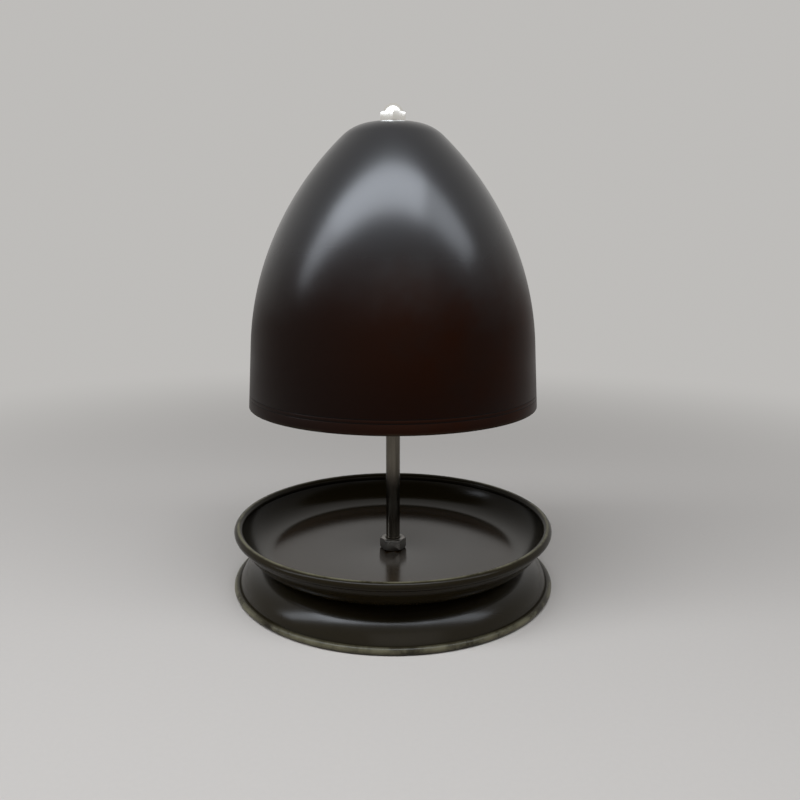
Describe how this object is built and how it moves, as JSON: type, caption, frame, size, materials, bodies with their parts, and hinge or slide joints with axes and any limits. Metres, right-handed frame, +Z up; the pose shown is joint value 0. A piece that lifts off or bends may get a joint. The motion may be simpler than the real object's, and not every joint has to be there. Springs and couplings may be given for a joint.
{
  "type": "bell-shaped candle heater",
  "caption": "Spun metal bell held by a cap nut on a central steel rod, over a dished tray on an inverted foot dish, with a smaller bell clamped inside.",
  "frame": {"origin": "on the table, under the middle of the foot's rolled rim", "axes": "+Z up along the rod; -Y towards the picture's camera; +X to the camera's right"},
  "size_m": [0.182, 0.182, 0.2628],
  "materials": {
    "dark_lacquer": "satin to gloss brown-black lacquer over fine spinning lines, worn to bronze on the rolled rims",
    "plain_steel": "drawn and machined steel, slightly dull",
    "bright_cap": "bright plated"
  },
  "bodies": {
    "stand": {"foot_dish": "dark_lacquer", "tray_dish": "dark_lacquer", "center_rod": "plain_steel", "base_washer": "plain_steel", "base_nut": "plain_steel", "tray_nut": "plain_steel", "inner_bell": "dark_lacquer", "inner_bell_lower_washer": "plain_steel", "inner_bell_lower_nut": "plain_steel", "inner_bell_upper_washer": "plain_steel", "inner_bell_upper_nut": "plain_steel", "outer_bell_seat_nut": "plain_steel"},
    "bell_seat": {"outer_bell_seat_washer": "plain_steel"},
    "bell": {"outer_bell": "dark_lacquer"},
    "cap": {"cap_nut": "bright_cap"}
  },
  "joints": [
    {"name": "bell_lift", "type": "slide", "parent": "stand", "child": "bell_seat", "axis": [0, 0, 1], "range_m": [0, 0.16]},
    {"name": "bell_turn", "type": "hinge", "parent": "bell_seat", "child": "bell", "pos_m": [0, 0, 0.2516], "axis": [0, 0, 1], "continuous": true},
    {"name": "cap_nut_turn", "type": "hinge", "parent": "bell", "child": "cap", "pos_m": [0, 0, 0.2528], "axis": [0, 0, 1], "continuous": true}
  ]
}
